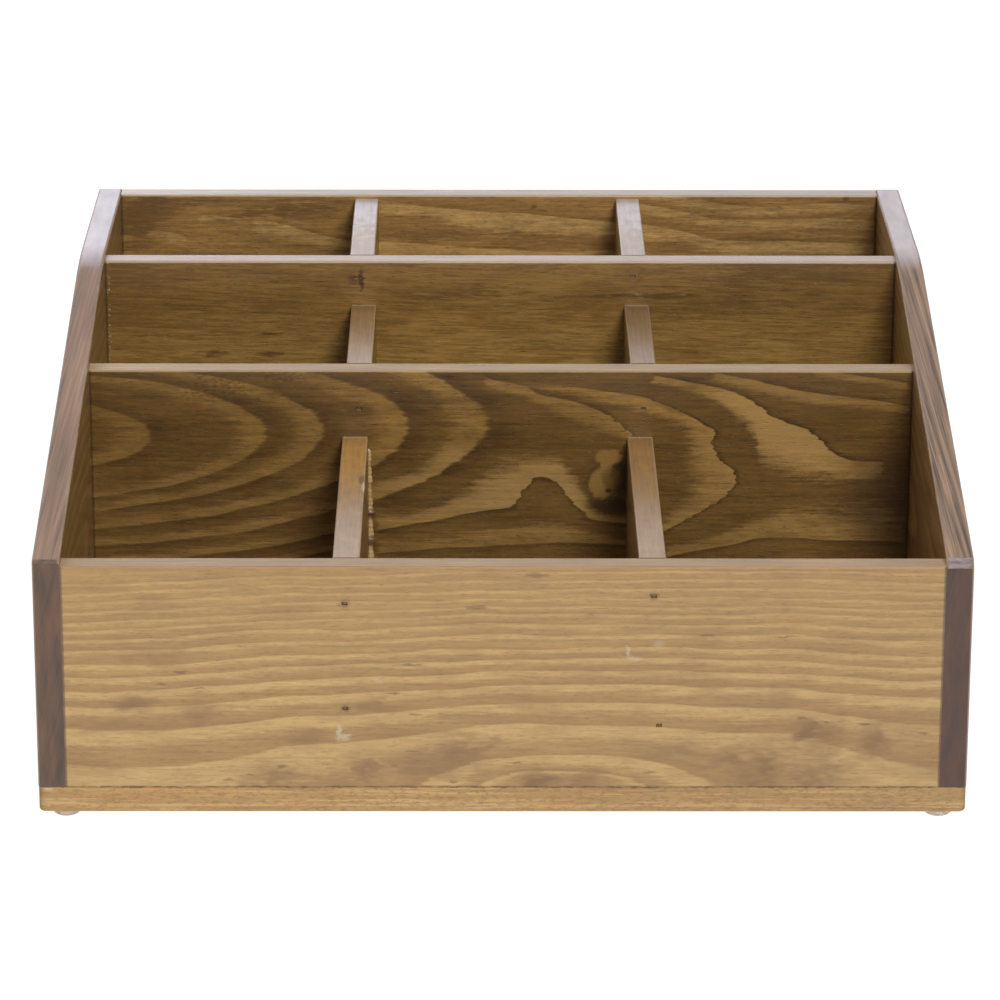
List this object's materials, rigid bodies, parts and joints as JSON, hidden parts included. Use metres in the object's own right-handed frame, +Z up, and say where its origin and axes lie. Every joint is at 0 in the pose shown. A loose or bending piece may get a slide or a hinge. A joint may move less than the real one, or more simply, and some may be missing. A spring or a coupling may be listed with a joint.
{
  "type": "coffee station organizer",
  "caption": "Open counter organizer of stained pine: stepped rows of bays between two sloped side boards, on one base board with clear bumpers.",
  "frame": {"origin": "on the table, under the middle of the box", "axes": "+X to the right, +Y to the back, away from the low front panel, +Z up"},
  "size_m": [0.406, 0.404, 0.1771],
  "materials": {
    "light_pine": "light stain, satin",
    "stained_pine": "dark stain, satin",
    "side_pine": "dark stain, satin",
    "divider_pine": "dark stain, satin",
    "clear_bumper": "clear, glossy",
    "brad_steel": "plain wire"
  },
  "bodies": {
    "root": {"front_panel": "light_pine", "base_board": "light_pine", "middle_panel": "stained_pine", "rear_panel": "stained_pine", "back_panel": "stained_pine", "left_side": "side_pine", "right_side": "side_pine", "front_left_divider": "divider_pine", "front_right_divider": "divider_pine", "middle_left_divider": "divider_pine", "middle_right_divider": "divider_pine", "rear_left_divider": "divider_pine", "rear_right_divider": "divider_pine", "front_left_foot": "clear_bumper", "front_right_foot": "clear_bumper", "rear_left_foot": "clear_bumper", "rear_right_foot": "clear_bumper", "front_panel_brads": "brad_steel", "middle_panel_brads": "brad_steel", "rear_panel_brads": "brad_steel", "back_panel_brads": "brad_steel", "left_side_brads": "brad_steel", "right_side_brads": "brad_steel", "base_brads": "brad_steel"}
  },
  "joints": []
}
